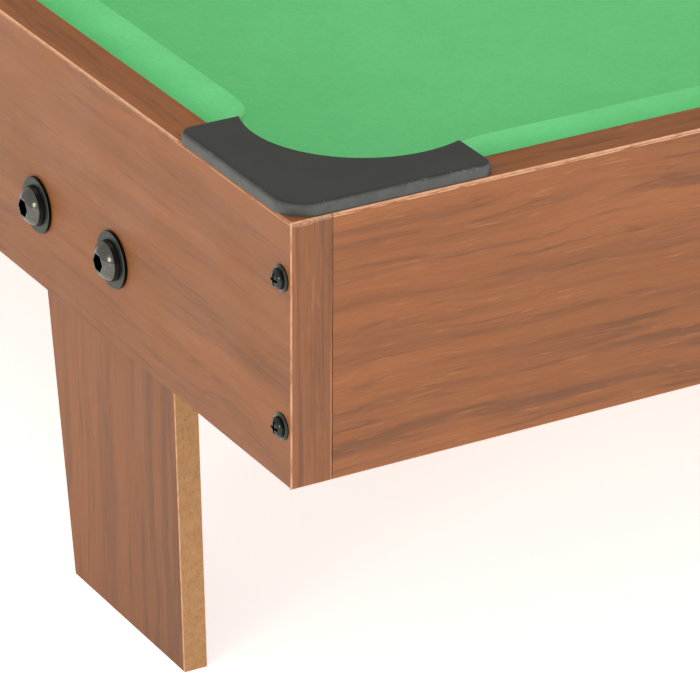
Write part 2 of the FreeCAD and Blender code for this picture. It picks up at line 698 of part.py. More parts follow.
def main():
    os.makedirs("parts", exist_ok=True)
    corner_pair = corner_screws()
    screws = [s for screw in corner_pair for s in at_all_corners(screw)]
    bolts, rings, nuts = bolt_sets()
    side_panel_screws, end_panel_screws, side_bed_screws, end_bed_screws = cleat_screw_places()
    side_cleat_screws = [flip(s, sx, sy) for s in side_panel_screws for sx, sy in CORNERS.values()]
    end_cleat_screws = [flip(s, sx, 1) for s in end_panel_screws for sx in (1, -1)]
    bed_screws = [flip(s, sx, sy) for s in side_bed_screws for sx, sy in CORNERS.values()]
    bed_screws += [flip(s, sx, 1) for s in end_bed_screws for sx in (1, -1)]
    cup_bodies, cup_screws = cups()

    for node, shape in panels(screws, side_cleat_screws + end_cleat_screws).items():
        save(node, shape)
    save("edge_bands", group(at_all_corners(edge_band())))

    save("bed_board", cut_all(bed_layer(BED_BOTTOM, BED_TOP), bed_screws + cup_screws))
    save("bed_cloth", bed_layer(BED_TOP, CLOTH_TOP))
    for node, shape in cushions().items():
        save(node, shape)

    cap = corner_cap()
    for corner in CORNERS:
        save("corner_cap_" + corner, at_corner(cap, corner))
    save("side_cap_front", side_cap())
    save("side_cap_back", flip(side_cap(), 1, -1))
    for node, shape in cup_bodies.items():
        save(node, shape)
    save("cup_screws", group(cup_screws))

    plank = leg(nuts)
    for corner in CORNERS:
        save("leg_" + corner, at_corner(plank, corner))
        save("leg_bolts_" + corner, group(at_corner(bolt, corner) for bolt in bolts))
        save("leg_washers_" + corner, group(at_corner(ring, corner) for ring in rings))
        save("corner_screws_" + corner, group(at_corner(screw, corner) for screw in corner_pair))
    save("tee_nuts", group(s for nut in nuts for s in at_all_corners(nut)))

    side_cleat, end_cleat = cleats()
    side_cleat = cut_all(side_cleat, side_panel_screws + side_bed_screws)
    end_cleat = cut_all(end_cleat, end_panel_screws + end_bed_screws)
    for corner, signs in CORNERS.items():
        save("side_cleat_" + corner, flip(side_cleat, *signs))
    save("end_cleat_left", end_cleat)
    save("end_cleat_right", flip(end_cleat, -1, 1))
    save("cleat_screws", group(side_cleat_screws + end_cleat_screws))
    save("bed_screws", group(bed_screws))


main()
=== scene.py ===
import math

import bpy
import numpy as np
from mathutils import Matrix, Vector, noise
from mathutils.geometry import delaunay_2d_cdt


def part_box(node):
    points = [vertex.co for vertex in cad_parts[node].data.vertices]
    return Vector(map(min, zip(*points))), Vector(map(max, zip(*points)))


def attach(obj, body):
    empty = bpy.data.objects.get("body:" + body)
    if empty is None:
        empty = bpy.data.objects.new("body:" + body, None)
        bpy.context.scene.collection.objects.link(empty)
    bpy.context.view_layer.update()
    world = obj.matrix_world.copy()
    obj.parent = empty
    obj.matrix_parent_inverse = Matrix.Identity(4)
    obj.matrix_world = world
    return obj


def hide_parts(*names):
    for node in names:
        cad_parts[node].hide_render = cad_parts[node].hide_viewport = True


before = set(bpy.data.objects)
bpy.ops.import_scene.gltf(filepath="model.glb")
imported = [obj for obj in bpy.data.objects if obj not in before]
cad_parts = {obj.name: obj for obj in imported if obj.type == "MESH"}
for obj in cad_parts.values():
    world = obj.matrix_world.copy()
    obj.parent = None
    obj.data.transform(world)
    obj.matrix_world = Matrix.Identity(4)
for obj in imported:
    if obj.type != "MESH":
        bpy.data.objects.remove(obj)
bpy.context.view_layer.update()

MM = 0.001
CORNERS = ("front_left", "front_right", "back_left", "back_right")


# ---- material building ----
def tone(red, green, blue):
    """Linear colour from the 0 to 255 values a screen shows."""
    def linear(value):
        share = value / 255
        return share / 12.92 if share <= 0.04045 else ((share + 0.055) / 1.055) ** 2.4
    return (linear(red), linear(green), linear(blue), 1.0)


class Paint:
    """One material's node tree. Each method adds a node and returns its output."""

    def __init__(self, name):
        self.material = bpy.data.materials.new(name)
        self.material.use_nodes = True
        self.tree = self.material.node_tree
        self.surface = self.tree.nodes["Principled BSDF"]
        self.here = self.add("TexCoord").outputs["Object"]
        geometry = self.add("NewGeometry")
        self.facing = geometry.outputs["True Normal"]
        self.smooth = geometry.outputs["Normal"]

    def add(self, kind, **settings):
        node = self.tree.nodes.new("ShaderNode" + kind)
        for key, value in settings.items():
            setattr(node, key, value)
        return node

    def put(self, socket, value):
        if isinstance(value, bpy.types.NodeSocket):
            self.tree.links.new(value, socket)
        elif socket.type == "VECTOR":
            socket.default_value = value[:3]
        else:
            socket.default_value = value

    def math(self, operation, first, second=0.0):
        node = self.add("Math", operation=operation)
        self.put(node.inputs[0], first)
        self.put(node.inputs[1], second)
        return node.outputs[0]

    def times(self, first, *others):
        for other in others:
            first = self.math("MULTIPLY", first, other)
        return first

    def minus(self, first, second):
        return self.math("SUBTRACT", first, second)

    def absolute(self, value):
        return self.math("ABSOLUTE", value)

    def vector(self, operation, first, second):
        node = self.add("VectorMath", operation=operation)
        self.put(node.inputs[0], first)
        self.put(node.inputs[1], second)
        return node.outputs[0]

    def split(self, vector):
        node = self.add("SeparateXYZ")
        self.put(node.inputs[0], vector)
        return node.outputs

    def stretched(self, scale, offset=(0, 0, 0)):
        """The point on the object, scaled per axis and then moved."""
        return self.vector("ADD", self.vector("MULTIPLY", self.here, scale), offset)

    def noise(self, vector, scale, detail=2.0, roughness=0.5, distortion=0.0):
        node = self.add("TexNoise")
        self.put(node.inputs["Vector"], vector)
        self.put(node.inputs["Scale"], scale)
        self.put(node.inputs["Detail"], detail)
        self.put(node.inputs["Roughness"], roughness)
        self.put(node.inputs["Distortion"], distortion)
        return node.outputs["Fac"]

    def cells(self, vector, scale, feature="F1"):
        node = self.add("TexVoronoi", feature=feature)
        self.put(node.inputs["Vector"], vector)
        self.put(node.inputs["Scale"], scale)
        return node.outputs["Distance"]

    def fade(self, value, low, high, to_low=0.0, to_high=1.0):
        """Smooth step from to_low at low to to_high at high."""
        node = self.add("MapRange", interpolation_type="SMOOTHSTEP")
        for key, number in (("Value", value), ("From Min", low), ("From Max", high),
                            ("To Min", to_low), ("To Max", to_high)):
            self.put(node.inputs[key], number)
        return node.outputs[0]

    def mix(self, share, first, second):
        node = self.add("Mix", data_type="RGBA")
        self.put(node.inputs[0], share)
        self.put(node.inputs[6], first)
        self.put(node.inputs[7], second)
        return node.outputs[2]

    def scale_colour(self, colour, amount):
        node = self.add("VectorMath", operation="SCALE")
        self.put(node.inputs[0], colour)
        self.put(node.inputs[3], amount)
        return node.outputs[0]

    def bump(self, height, distance, strength=1.0, under=None):
        node = self.add("Bump")
        self.put(node.inputs["Strength"], strength)
        self.put(node.inputs["Distance"], distance)
        self.put(node.inputs["Height"], height)
        if under is not None:
            self.put(node.inputs["Normal"], under)
        return node.outputs[0]

    def flat_to(self, axis):
        """1 on faces square to an axis, 0 on the others."""
        return self.fade(self.absolute(self.split(self.facing)[axis]), 0.9, 0.97)

    def arris(self):
        """1 on the narrow flats between a board's faces, 0 on its faces."""
        x, y, z = (self.absolute(part) for part in self.split(self.facing))
        largest = self.math("MAXIMUM", self.math("MAXIMUM", x, y), z)
        return self.fade(largest, 0.85, 0.97, 1.0, 0.0)

    def edge(self):
        """1 where a rounded edge turns from flat to upright."""
        tilt = self.absolute(self.split(self.smooth)[2])
        return self.times(self.fade(tilt, 0.1, 0.3), self.fade(tilt, 0.90, 0.985, 1.0, 0.0))

    def upright(self):
        """1 on side faces, 0 on faces that look straight up or down."""
        return self.fade(self.absolute(self.split(self.smooth)[2]), 0.5, 0.99, 1.0, 0.0)

    def finish(self, colour, roughness, normal=None, **extras):
        self.put(self.surface.inputs["Base Color"], colour)
        self.put(self.surface.inputs["Roughness"], roughness)
        if normal is not None:
            self.put(self.surface.inputs["Normal"], normal)
        for key, value in extras.items():
            self.put(self.surface.inputs[key.replace("_", " ")], value)
        return self.material


# ---- materials ----
FOIL_LIGHT = tone(149, 91, 52)
FOIL_MID = tone(136, 82, 45)
FOIL_DARK = tone(100, 64, 42)
FOIL_LINE = tone(84, 52, 34)
FOIL_FLECK = tone(184, 124, 84)
WORN = tone(216, 162, 126)
SCUFF = tone(192, 148, 118)
FIBRE_LIGHT = tone(181, 137, 95)
FIBRE_MID = tone(160, 117, 75)
FIBRE_DARK = tone(118, 82, 50)

# a foil board's grain contrast, the painted shade of its upright faces, the painted shade of its top
# face, its gloss
SIDE_LOOK = (0.75, (0.94, 0.95, 0.87), 0.98, 0.18)
END_LOOK = (1.0, (1.0, 0.98, 0.95), 0.88, 0.28)
LEG_TINT = (0.87, 0.86, 0.76)
STRIP_SHADE = 0.86
# painted shade of the fibreboard under the bed's cloth
UNDER_CLOTH_PAINTED_SHADE = 0.72

SLOW_SWAY = 12 * MM                    # how far the grain lines wander in long waves,
QUICK_SWAY = 2.4 * MM                  # and in short ones
FOIL_RELIEF = 0.00005                  # heights of the surfaces' relief, in metres
LEG_RELIEF = 0.0001
BOARD_RELIEF = 0.0002
RUB_LINE = (0.72 * MM, 0.98 * MM)      # worn line below a board's upper arris, from and to,
RUB_SOFT = 0.14 * MM                   # and how softly it ends
SEAM_LINE = (0.45 * MM, 0.85 * MM)     # rubbed line beside the edge band's seam
SEAM_SOFT = 0.15 * MM
SEAM_RUB_FADE = (20 * MM, 45 * MM)     # the rub fades out between these depths below the top
RAGGED_TOP = 2.6 * MM                  # deepest scuff on the edge band's top
SHELTER_SOFT = 1 * MM                  # the caps' shelter starts over this length each side


def band(paint, value, low, high, soft):
    """1 between two values, fading out over a soft width on each side."""
    rise = paint.fade(value, low - soft, low)
    fall = paint.fade(value, high, high + soft, 1.0, 0.0)
    return paint.times(rise, fall)


def swayed(paint, across, shift):
    """The point on the object, moved across the grain in long and short waves."""
    slow = paint.minus(paint.noise(paint.stretched((9, 9, 9), shift), 1.0, 1), 0.5)
    quick = paint.minus(paint.noise(paint.stretched((34, 34, 34), shift), 1.0, 2), 0.5)
    amount = paint.math("ADD", paint.times(slow, SLOW_SWAY), paint.times(quick, QUICK_SWAY))
    return paint.vector("ADD", paint.here, paint.scale_colour(across, amount))


def grain(paint, along, seed, contrast=1.0):
    """Printed wood grain running along an axis. Returns its colour and its height."""
    shift = (seed * 0.37, seed * 0.71, seed * 0.53)
    across = [0.0 if axis == along else 1.0 for axis in range(3)]
    bent = swayed(paint, across, shift)

    def fibre_space(stretch):
        scaled = paint.vector("MULTIPLY", bent, [value or stretch for value in across])
        return paint.vector("ADD", scaled, shift)

    broad = paint.noise(fibre_space(0.05), 70, 2, 0.5)
    cloud = paint.noise(fibre_space(0.04), 210, 3, 0.55)
    dashes = fibre_space(0.07)
    bands = paint.fade(paint.noise(fibre_space(0.03), 85, 2, 0.5), 0.40, 0.62, 0.3, 1.0)
    streaks = paint.times(paint.fade(cloud, 0.42, 0.72), bands)
    broken = paint.fade(paint.noise(dashes, 420, 2), 0.42, 0.62)
    outlines = paint.times(band(paint, cloud, 0.575, 0.595, 0.03), broken)
    pores = paint.fade(paint.noise(dashes, 1300, 2, 0.6), 0.60, 0.72)
    elsewhere = paint.vector("ADD", dashes, (3, 1, 2))
    flecks = paint.fade(paint.noise(elsewhere, 1150, 2, 0.6), 0.60, 0.72)
    fibres = paint.noise(fibre_space(0.03), 1500, 3, 0.65)

    colour = paint.mix(paint.fade(broad, 0.3, 0.7), FOIL_LIGHT, FOIL_MID)
    for mask, share, shade in ((streaks, 0.82, FOIL_DARK), (outlines, 0.34, FOIL_LINE),
                               (pores, 0.20, FOIL_LINE), (flecks, 0.24, FOIL_FLECK)):
        colour = paint.mix(paint.times(mask, share * contrast), colour, shade)
    swing = 0.06 * contrast
    colour = paint.scale_colour(colour, paint.fade(fibres, 0.3, 0.7, 1 - swing, 1 + swing))
    height = paint.minus(fibres, paint.times(pores, 0.8))
    return colour, height


def fibreboard(paint):
    """Raw fibreboard: pale fibres, dark specks and a soft mottle."""
    mottle = paint.noise(paint.here, 420, 3)
    fibres = paint.noise(paint.stretched((1, 1, 0.35)), 1900, 3, 0.7)
    specks = paint.fade(paint.noise(paint.here, 1300, 2), 0.60, 0.70)
    colour = paint.mix(paint.fade(mottle, 0.3, 0.7, 0.25, 0.75), FIBRE_MID, FIBRE_LIGHT)
    colour = paint.mix(paint.fade(fibres, 0.5, 0.8, 0, 0.5), colour, FIBRE_LIGHT)
    colour = paint.mix(paint.fade(fibres, 0.25, 0.45, 0.3, 0), colour, FIBRE_DARK)
    colour = paint.mix(paint.times(specks, 0.5), colour, FIBRE_DARK)
    return colour, fibres


def under_caps(paint):
    """1 on the open part of a long board, less where the corner caps cover its arris."""
    out = paint.absolute(paint.split(paint.here)[0])
    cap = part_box("corner_cap_front_right")[0].x
    return paint.fade(out, cap - SHELTER_SOFT, cap + SHELTER_SOFT, 1.0, 0.35)


def foil_board(name, node, along, seed, contrast, upright_painted_shade, top_painted_shade, shine):
    """Foil-wrapped board whose upper arrises are worn through to the pale board. The corner caps
    lie flush with the long boards and shelter theirs."""
    paint = Paint(name)
    foil, height = grain(paint, along, seed, contrast)
    up = paint.flat_to(2)
    # painted shade: the upright faces and the top face get different shades of the same foil, for how
    # the light falls on them
    upright_shaded = paint.vector("MULTIPLY", foil, upright_painted_shade)
    colour = paint.mix(up, upright_shaded, paint.scale_colour(foil, top_painted_shade))
    depth = paint.minus(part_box(node)[1].z, paint.split(paint.here)[2])
    near_top = paint.fade(depth, 2 * MM, 6 * MM, 1.0, 0.12)
    wear = paint.fade(paint.noise(paint.here, 260, 3, 0.6), 0.25, 0.6, 0.55, 1.0)
    arris = paint.times(paint.arris(), wear, near_top)
    if along == 0:
        arris = paint.times(arris, under_caps(paint))
    colour = paint.mix(arris, colour, WORN)
    rub = paint.fade(paint.noise(paint.stretched((1, 1, 8)), 120, 3, 0.6), 0.38, 0.55)
    line = paint.times(band(paint, depth, *RUB_LINE, RUB_SOFT), rub, paint.minus(1.0, up))
    colour = paint.mix(paint.times(line, 0.85 * contrast ** 2), colour, WORN)
    roughness = paint.fade(paint.noise(paint.here, 35, 3), 0.3, 0.7, 0.40, 0.50)
    gloss = paint.fade(up, 0, 1, shine, 0.05)
    relief = paint.bump(height, FOIL_RELIEF, 0.5)
    return paint.finish(colour, roughness, relief, Specular_IOR_Level=gloss)


def strip_streaks(paint, colour):
    """Straight upright lines over the edge band's grain."""
    lines = paint.noise(paint.stretched((1, 1, 0.012)), 620, 3, 0.6)
    fine = paint.noise(paint.stretched((1, 1, 0.03)), 1500, 2, 0.6)
    colour = paint.mix(paint.fade(lines, 0.50, 0.64, 0, 0.75), colour, FOIL_DARK)
    colour = paint.mix(paint.fade(fine, 0.58, 0.70, 0, 0.35), colour, FOIL_LINE)
    return paint.mix(paint.fade(fine, 0.30, 0.42, 0.22, 0), colour, FOIL_FLECK)


def edge_band_foil():
    """Strip over the side panels' ends: straight upright grain, a rubbed seam and a scuffed top."""
    paint = Paint("edge_band_foil")
    low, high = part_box("edge_bands")
    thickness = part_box("side_panel_front")[1].y - low.y
    colour, height = grain(paint, 2, 9.0, 0.7)
    colour = strip_streaks(paint, paint.scale_colour(colour, STRIP_SHADE))
    _, y, z = paint.split(paint.here)
    depth = paint.minus(high.z, z)
    seam = paint.minus(thickness, paint.minus(-low.y, paint.absolute(y)))
    scratch = paint.fade(paint.noise(paint.stretched((1, 1, 0.12)), 90, 3, 0.6), 0.36, 0.52)
    scratch = paint.times(scratch, paint.fade(depth, *SEAM_RUB_FADE, 1.0, 0.35))
    line = paint.times(band(paint, seam, *SEAM_LINE, SEAM_SOFT), scratch, 0.75)
    colour = paint.mix(line, colour, SCUFF)
    ragged = paint.times(paint.noise(paint.here, 620, 4, 0.8), RAGGED_TOP)
    worn_top = paint.fade(paint.minus(depth, ragged), -0.5 * MM, 0.3 * MM, 1.0, 0.0)
    streaky = paint.noise(paint.stretched((1, 1, 3)), 800, 3, 0.7)
    streaky = paint.fade(streaky, 0.40, 0.60, 0.20, 0.75)
    colour = paint.mix(paint.times(worn_top, streaky), colour, SCUFF)
    chips = paint.noise(paint.stretched((1, 1, 0.35)), 420, 3, 0.6)
    chips = paint.fade(chips, 0.35, 0.60, 0.25, 0.75)
    colour = paint.mix(paint.times(paint.arris(), chips), colour, WORN)
    return paint.finish(colour, 0.48, paint.bump(height, FOIL_RELIEF, 0.5), Specular_IOR_Level=0.34)


def leg_board(name, seed):
    """Foil on the two wide faces with the grain running down the leg, raw board on the edges."""
    paint = Paint(name)
    face, height = grain(paint, 2, seed, 0.8)
    face = paint.vector("MULTIPLY", face, LEG_TINT)
    raw, fibres = fibreboard(paint)
    is_face = paint.flat_to(1)
    worn = paint.fade(paint.noise(paint.here, 300, 3), 0.35, 0.6, 0.4, 0.9)
    edge = paint.mix(paint.times(paint.arris(), worn), raw, WORN)
    colour = paint.mix(is_face, edge, face)
    roughness = paint.fade(is_face, 0, 1, 0.85, 0.45)
    relief = paint.bump(paint.mix(is_face, fibres, height), LEG_RELIEF, 0.6)
    return paint.finish(colour, roughness, relief, Specular_IOR_Level=0.2)


def raw_board():
    """Fibreboard under the bed's cloth, darkened by a painted shade because it lies out of the light.
    """
    paint = Paint("raw_fibreboard")
    colour, fibres = fibreboard(paint)
    # painted shade: the board is darker for lying out of the light
    colour = paint.scale_colour(colour, UNDER_CLOTH_PAINTED_SHADE)
    return paint.finish(colour, 0.88, paint.bump(fibres, BOARD_RELIEF, 0.6))


RING_COUNT = 9
RING_STRETCH = 0.06
PINE_RELIEF = 0.0001


def pine(name, along):
    """Planed softwood with wide pale rings."""
    paint = Paint(name)
    stretch = [1.0, 1.0, 1.0]
    stretch[along] = RING_STRETCH
    point = paint.stretched(stretch)
    rings = paint.math("FRACT", paint.times(paint.noise(point, 60, 2), RING_COUNT))
    colour = paint.mix(paint.fade(rings, 0.3, 0.95), tone(222, 184, 130), tone(186, 136, 84))
    fibres = paint.noise(point, 1200, 3)
    colour = paint.scale_colour(colour, paint.fade(fibres, 0.3, 0.7, 0.9, 1.05))
    return paint.finish(colour, 0.7, paint.bump(fibres, PINE_RELIEF, 0.5))


RAIL_SIDE_PAINTED_SHADE = (0.84, 0.95, 0.88, 1.0)    # painted shade on the cushions' cloth by the rail,
NOSE_SIDE_PAINTED_SHEEN = (1.17, 1.10, 1.14, 1.0)    # and painted sheen on it by the nose
LEAN = (2 * MM, 15 * MM)               # distances from a cushion's back where one turns into the other
# colour of the painted sheen where the cloth bends over
BENT_CLOTH_PAINTED_SHEEN = tone(128, 204, 142)
PILE_RELIEF = 0.00022


def cloth(name, base, shade, backs=None):
    """Short-pile cloth: soft mottle, fine pile, sparse dark specks, and a painted sheen where it bends
    over. Given how far out the cushions' backs lie in x and y, it gets a painted shade by the rails
    and a painted sheen by the nose."""
    paint = Paint(name)
    mottle = paint.noise(paint.here, 45, 3, 0.55)
    clumps = paint.noise(paint.here, 520, 3, 0.65)
    pile = paint.noise(paint.here, 2100, 2, 0.7)
    specks = paint.fade(paint.cells(paint.here, 420), 0.06, 0.14, 1.0, 0.0)
    sparse = paint.fade(paint.noise(paint.here, 160, 1), 0.52, 0.62)
    colour = paint.mix(paint.fade(mottle, 0.3, 0.7), shade, base)
    colour = paint.scale_colour(colour, paint.fade(clumps, 0.25, 0.75, 0.96, 1.04))
    colour = paint.scale_colour(colour, paint.fade(pile, 0.2, 0.8, 0.94, 1.06))
    # painted sheen: the cloth is paler where its surface bends over
    painted_sheen_share = paint.fade(paint.split(paint.smooth)[2], 0.35, 0.98, 1.0, 0.0)
    colour = paint.mix(paint.times(painted_sheen_share, 0.35), colour, BENT_CLOTH_PAINTED_SHEEN)
    # painted shade by the rails and painted sheen by the nose
    if backs is not None:
        x_run, y_run = (paint.minus(back, paint.absolute(part))
                        for back, part in zip(backs, paint.split(paint.here)))
        by_nose = paint.fade(paint.math("MINIMUM", x_run, y_run), *LEAN)
        colour = paint.vector("MULTIPLY", colour, paint.mix(by_nose, RAIL_SIDE_PAINTED_SHADE, NOSE_SIDE_PAINTED_SHEEN))
    dark = paint.scale_colour(colour, 0.6)
    colour = paint.mix(paint.times(specks, sparse, 0.7), colour, dark)
    height = paint.math("ADD", pile, paint.times(clumps, 1.2))
    return paint.finish(
        colour, 0.95, paint.bump(height, PILE_RELIEF, 0.45),
        Specular_IOR_Level=0.12, Sheen_Weight=0.25, Sheen_Roughness=0.5,
        Sheen_Tint=(0.4, 0.9, 0.5, 1.0),
    )


PLASTIC_RELIEF = 0.00005
TURNED_RELIEF = 0.00002
RIM_PAINTED_SHADE = 0.06                           # how dark the painted shade makes the upright rims and socket walls of blackened heads
FLAT_FACE_PAINTED_SHADE = 0.6                       # painted shade on their faces that look straight out, dimming their reflection


def moulded_plastic(name, base, scuffed, roughness):
    """Black moulded plastic with a fine spark texture, pale rubs on its rounded edges, and painted
    light that makes its upright sides paler than its top.
    """
    paint = Paint(name)
    texture = paint.noise(paint.here, 2600, 2, 0.6)
    blotch = paint.noise(paint.here, 60, 3)
    rub = paint.fade(paint.noise(paint.here, 1300, 4, 0.75), 0.52, 0.66)
    patch = paint.fade(paint.noise(paint.here, 90, 2), 0.50, 0.62)
    rubbed = paint.times(rub, patch, paint.edge(), 0.3)
    side = paint.upright()
    # painted light: the upright sides are mixed toward a paler grey than the top
    painted_side_light = paint.fade(paint.noise(paint.here, 240, 3, 0.6), 0.35, 0.65, 0.16, 0.25)
    colour = paint.scale_colour(base, paint.fade(blotch, 0.3, 0.7, 0.9, 1.12))
    colour = paint.scale_colour(colour, paint.fade(texture, 0.3, 0.7, 0.93, 1.07))
    colour = paint.mix(paint.times(side, painted_side_light), colour, paint.scale_colour(scuffed, 0.45))
    colour = paint.mix(rubbed, colour, scuffed)
    rough = paint.fade(texture, 0.3, 0.7, roughness - 0.05, roughness + 0.05)
    shine = paint.fade(side, 0, 1, 0.12, 0.45)
    relief = paint.bump(texture, PLASTIC_RELIEF, 0.6)
    return paint.finish(colour, rough, relief, Specular_IOR_Level=shine)


def fastener_steel(name, base, roughness, worn, axis=None):
    """Plated or blackened steel with turned marks and brighter spots. An axis is given for blackened
    heads, and is the way they face: their rims and their flat faces get a painted shade."""
    paint = Paint(name)
    blotch = paint.noise(paint.here, 700, 4, 0.65)
    marks = paint.noise(paint.stretched((1, 0.2, 1)), 3500, 2)
    colour = paint.mix(paint.fade(blotch, 0.50, 0.75, 0, 0.45), base, worn)
    if axis is not None:
        # painted shade on the rims, socket walls and flat faces of blackened heads
        facing = paint.absolute(paint.split(paint.facing)[axis])
        colour = paint.scale_colour(colour, paint.fade(facing, 0.40, 0.50, RIM_PAINTED_SHADE, 1.0))
        colour = paint.scale_colour(colour, paint.fade(facing, 0.96, 0.995, 1.0, FLAT_FACE_PAINTED_SHADE))
    rough = paint.fade(blotch, 0.3, 0.7, roughness - 0.06, roughness + 0.08)
    return paint.finish(colour, rough, paint.bump(marks, TURNED_RELIEF, 0.4), Metallic=0.85)


def paint_frame():
    """Gives every carried-over CAD node its material."""
    cap = moulded_plastic("cap_plastic", tone(46, 47, 41), tone(160, 165, 163), 0.50)
    cup = moulded_plastic("cup_plastic", tone(38, 38, 38), tone(120, 120, 120), 0.42)
    bolt = fastener_steel("bolt_steel", tone(92, 90, 84), 0.19, tone(124, 122, 114), 1)
    washer = fastener_steel("washer_steel", tone(68, 74, 65), 0.42, tone(94, 101, 90), 1)
    screw = fastener_steel("screw_steel", tone(50, 52, 47), 0.18, tone(92, 94, 86), 1)
    zinc = fastener_steel("zinc_steel", tone(188, 190, 190), 0.30, tone(224, 224, 220))
    chosen = {
        "side_panel_front": foil_board("side_foil_front", "side_panel_front", 0, 1.0, *SIDE_LOOK),
        "side_panel_back": foil_board("side_foil_back", "side_panel_back", 0, 4.0, *SIDE_LOOK),
        "end_panel_left": foil_board("end_foil_left", "end_panel_left", 1, 2.0, *END_LOOK),
        "end_panel_right": foil_board("end_foil_right", "end_panel_right", 1, 6.0, *END_LOOK),
        "edge_bands": edge_band_foil(),
        "bed_board": raw_board(),
        "side_cap_front": cap,
        "side_cap_back": cap,
    }
    for node in ("tee_nuts", "cleat_screws", "bed_screws", "cup_screws"):
        chosen[node] = zinc
    across_pine, along_pine = pine("pine_across", 1), pine("pine_along", 0)
    for end in ("left", "right"):
        chosen["end_cleat_" + end] = across_pine
    for number, corner in enumerate(CORNERS):
        chosen["corner_cap_" + corner] = cap
        chosen["leg_" + corner] = leg_board("leg_foil_" + corner, 11.0 + 3 * number)
        chosen["leg_bolts_" + corner] = bolt
        chosen["leg_washers_" + corner] = washer
        chosen["corner_screws_" + corner] = screw
        chosen["side_cleat_" + corner] = along_pine
    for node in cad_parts:
        if node.startswith("pocket_cup_"):
            chosen[node] = cup
    for node, material in chosen.items():
        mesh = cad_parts[node].data
        mesh.materials.clear()
        mesh.materials.append(material)


# ---- cloth pieces ----
NOSE_H = 15.6 * MM                     # nose above the cushion's underside
# run and power of the curve that the ends follow, at a corner pocket on a long or a short rail,
# and at a side pocket
END_SWEEP = {"long": (26 * MM, 1.35), "short": (9 * MM, 1.6), "side": (9 * MM, 1.5)}
END_DROOP = 1.3 * MM                   # the nose dips this much at each end,
DROOP_RUN = 9 * MM                     # over this length
KNEE = 6.3 * MM                        # depth at which the cushion's ends start to slope back
END_ROUND = 1.0 * MM                   # the ends' own edges are rounded by this much
STATION = 3.5 * MM                     # spacing of the rings along a cushion
PUFF = 0.16 * MM                       # unevenness of the stretched cloth,
PUFF_LEVEL = 0.6                       # which dents it more than it swells it
HELD = 0.8 * MM                        # the cloth stays put this close to the back and the foot
PROFILE_STEPS = 7                      # points in each rounded corner of the section


def new_piece(name, vertices, faces, material):
    mesh = bpy.data.meshes.new(name)
    mesh.from_pydata([tuple(v) for v in vertices], [], faces)
    mesh.validate()
    piece = bpy.data.objects.new(name, mesh)
    bpy.context.scene.collection.objects.link(piece)
    mesh.materials.append(material)
    mesh.shade_smooth()
    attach(piece, "root")
    return piece


def rounded_loop(corners, steps):
    """Closed loop past corners (x, y, radius), each turned into an arc-like run of points."""
    points = []
    for i, (x, y, radius) in enumerate(corners):
        here = np.array((x, y))
        before = np.array(corners[i - 1][:2]) - here
        after = np.array(corners[(i + 1) % len(corners)][:2]) - here
        start = here + before / np.linalg.norm(before) * radius
        end = here + after / np.linalg.norm(after) * radius
        for t in np.linspace(0, 1, steps):
            points.append((1 - t) ** 2 * start + 2 * t * (1 - t) * here + t * t * end)
    return np.array(points)


def cushion_profile(depth, height):
    """Section of a cushion as (distance from its back, height above its foot)."""
    return rounded_loop([
        (0, 0, 0.6 * MM),
        (depth - 7.0 * MM, 0, 1.2 * MM),
        (depth - 1.6 * MM, NOSE_H - 4.2 * MM, 3.0 * MM),
        (depth + 0.1 * MM, NOSE_H + 0.3 * MM, 1.6 * MM),
        (depth - 3.4 * MM, height - 0.6 * MM, 2.4 * MM),
        (0, height, 0.8 * MM),
    ], PROFILE_STEPS)


def sweep_back(depths, depth, kind):
    """How far a cushion's end is cut back, at each distance from the cushion's back."""
    run, power = END_SWEEP[kind]
    share = np.clip((depths - KNEE) / (depth - KNEE), 0, 1)
    return run * (1 - (1 - share) ** (1 / power))


def cushion_rings(length):
    """Rings of a cushion: how far each one's section shrinks, its shift along the cushion, and
    its share of the cushion's length."""
    turns = np.linspace(0, math.pi / 2, 5)
    rounds = [(END_ROUND * (1 - math.sin(a)), END_ROUND * (1 - math.cos(a))) for a in turns]
    start = [(shrink, shift, 0) for shrink, shift in rounds]
    body = [(0, 0, share) for share in np.linspace(0, 1, int(length / STATION))[1:-1]]
    finish = [(shrink, -shift, 1) for shrink, shift in rounds[::-1]]
    return start + body + finish


def puff_out(vertices, middle, seed):
    """Makes a cushion's surface a little uneven, except at its back and its foot."""
    for vertex in vertices:
        if min(vertex[1], vertex[2]) < HELD:
            continue
        wave = noise.noise(Vector((vertex[0] * 26 + seed, vertex[1] * 60, vertex[2] * 60)))
        out = vertex[1:] - middle
        out /= np.linalg.norm(out)
        vertex[1:] += out * (wave - PUFF_LEVEL) * PUFF


def ring_edge(ring, k, count):
    """Numbers of the two vertices at each end of a ring's edge k."""
    return ring * count + k, ring * count + (k + 1) % count


def tube_faces(ring_count, count):
    """Faces between the neighbouring rings of a tube."""
    faces = []
    for ring in range(ring_count - 1):
        for k in range(count):
            a, b = ring_edge(ring, k, count)
            faces.append((a, b, b + count, a + count))
    return faces


def close_end(vertices, faces, ring, count, order):
    """Closes a tube's end with triangles round the middle of its ring."""
    hub = len(vertices)
    section = np.array(vertices[ring * count:(ring + 1) * count])
    vertices.append(section.mean(0))
    for k in range(count):
        a, b = ring_edge(ring, k, count)
        faces.append((hub, a, b)[::order])


